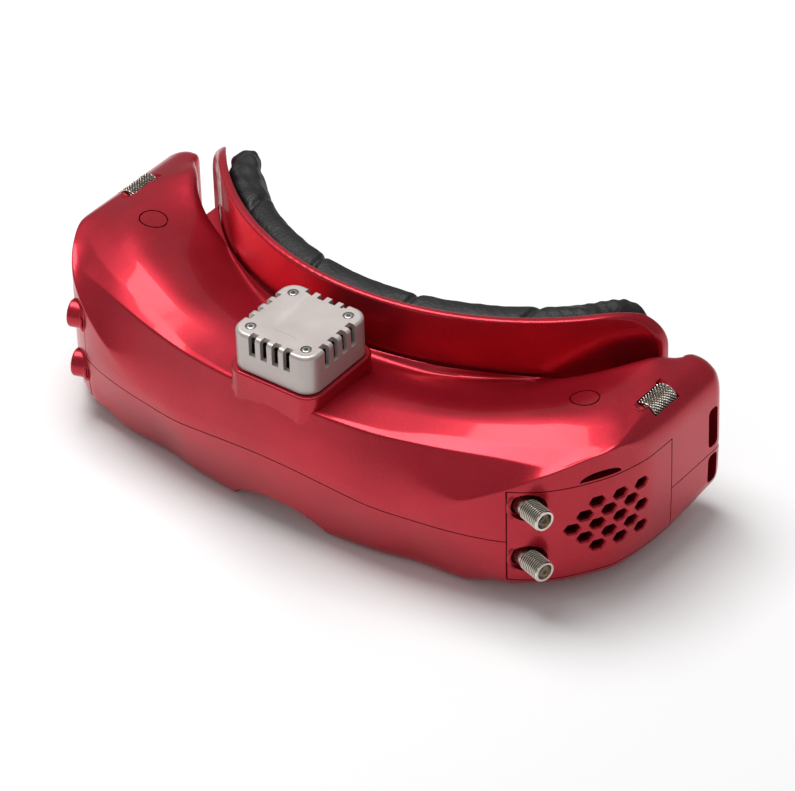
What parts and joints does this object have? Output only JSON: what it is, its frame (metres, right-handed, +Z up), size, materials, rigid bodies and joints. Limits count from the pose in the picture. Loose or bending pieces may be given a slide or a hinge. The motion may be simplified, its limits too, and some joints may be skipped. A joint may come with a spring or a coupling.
{
  "type": "fpv goggles",
  "caption": "Head-worn video goggles for flying a model drone: painted shells, curved face frame with foam pad, sliding eyepieces, cooling fan, buttons, scroll wheels and antenna sockets.",
  "frame": {"origin": "under the middle of the goggles, on the surface they rest on", "axes": "+X to the wearer's left, +Y towards the wearer's face, +Z up; -Y is the front"},
  "size_m": [0.1918, 0.084, 0.0605],
  "materials": {
    "red_paint": "glossy metallic red paint over moulded plastic",
    "silver_paint": "satin warm grey",
    "nickel": "bright nickel plate",
    "steel": "plain steel",
    "black_plastic": "fine matt texture",
    "foam_leather": "soft imitation leather over foam",
    "optical_glass": "coated lens",
    "screen": "dark display",
    "circuit_board": "green solder mask",
    "white_insulator": "white dielectric",
    "gold": "gold plate",
    "cable_black": "black jacket"
  },
  "bodies": {
    "goggles": {"upper_shell": "red_paint", "lower_shell": "red_paint", "left_side_cover": "red_paint", "right_side_cover": "red_paint", "fan_cover": "silver_paint", "fan_cover_screw_1": "steel", "fan_cover_screw_2": "steel", "fan_cover_screw_3": "steel", "fan_cover_screw_4": "steel", "fan_frame": "black_plastic", "left_button_switch": "black_plastic", "right_button_switch": "black_plastic", "left_wheel_bracket": "black_plastic", "right_wheel_bracket": "black_plastic", "left_control_board": "circuit_board", "right_control_board": "circuit_board", "upper_antenna_connector": "nickel", "lower_antenna_connector": "nickel", "upper_antenna_insulator": "white_insulator", "lower_antenna_insulator": "white_insulator", "upper_antenna_contact": "gold", "lower_antenna_contact": "gold", "upper_antenna_lead": "cable_black", "lower_antenna_lead": "cable_black", "upper_port_plug": "red_paint", "lower_port_plug": "red_paint", "face_frame": "red_paint", "frame_screw_1": "steel", "frame_screw_2": "steel", "frame_screw_3": "steel", "frame_screw_4": "steel", "face_foam": "foam_leather", "rear_panel": "black_plastic", "ipd_rail": "steel", "main_board": "circuit_board", "receiver_board": "circuit_board", "power_socket": "black_plastic", "video_socket": "black_plastic", "shell_screw_1": "steel", "shell_screw_2": "steel", "shell_screw_3": "steel", "shell_screw_4": "steel"},
    "left_wheel": {"left_scroll_wheel": "nickel"},
    "right_wheel": {"right_scroll_wheel": "nickel"},
    "left_button_cap": {"left_button": "red_paint"},
    "right_button_cap": {"right_button": "red_paint"},
    "fan": {"fan_rotor": "black_plastic"},
    "left_optics": {"left_eyepiece": "black_plastic", "left_ipd_slider": "black_plastic", "left_display": "screen"},
    "right_optics": {"right_eyepiece": "black_plastic", "right_ipd_slider": "black_plastic", "right_display": "screen"},
    "left_focus": {"left_focus_ring": "black_plastic"},
    "right_focus": {"right_focus_ring": "black_plastic"},
    "left_lens_cell": {"left_lens": "optical_glass"},
    "right_lens_cell": {"right_lens": "optical_glass"}
  },
  "joints": [
    {"name": "left_wheel_spin", "type": "hinge", "parent": "goggles", "child": "left_wheel", "pos_m": [0.0888, 0.0151, 0.0457], "axis": [0, 1, 0], "continuous": true},
    {"name": "left_button_press", "type": "slide", "parent": "goggles", "child": "left_button_cap", "axis": [0, 0, -1], "range_m": [0, 0.0008], "stiffness_N_per_m": 600, "springref_m": -0.0004},
    {"name": "left_eye_distance", "type": "slide", "parent": "goggles", "child": "left_optics", "axis": [1, 0, 0], "range_m": [-0.00325, 0.00325]},
    {"name": "left_focus_turn", "type": "hinge", "parent": "left_optics", "child": "left_focus", "pos_m": [0.0325, 0, 0.024], "axis": [0, 1, 0], "range_deg": [-60, 60]},
    {"name": "left_lens_travel", "type": "slide", "parent": "left_optics", "child": "left_lens_cell", "axis": [0, 1, 0], "range_m": [-0.00147, 0.00147]},
    {"name": "right_wheel_spin", "type": "hinge", "parent": "goggles", "child": "right_wheel", "pos_m": [-0.0888, 0.0151, 0.0457], "axis": [0, 1, 0], "continuous": true},
    {"name": "right_button_press", "type": "slide", "parent": "goggles", "child": "right_button_cap", "axis": [0, 0, -1], "range_m": [0, 0.0008], "stiffness_N_per_m": 600, "springref_m": -0.0004},
    {"name": "right_eye_distance", "type": "slide", "parent": "goggles", "child": "right_optics", "axis": [-1, 0, 0], "range_m": [-0.00325, 0.00325]},
    {"name": "right_focus_turn", "type": "hinge", "parent": "right_optics", "child": "right_focus", "pos_m": [-0.0325, 0, 0.024], "axis": [0, 1, 0], "range_deg": [-60, 60]},
    {"name": "right_lens_travel", "type": "slide", "parent": "right_optics", "child": "right_lens_cell", "axis": [0, 1, 0], "range_m": [-0.00147, 0.00147]},
    {"name": "fan_spin", "type": "hinge", "parent": "goggles", "child": "fan", "pos_m": [0, -0.0246, 0.0514], "axis": [0, 0, 1], "continuous": true}
  ],
  "couplings": [
    {"joint": "left_focus_turn", "follows": "left_lens_travel", "rad_per_m": 714.29},
    {"joint": "right_focus_turn", "follows": "right_lens_travel", "rad_per_m": 714.29}
  ]
}
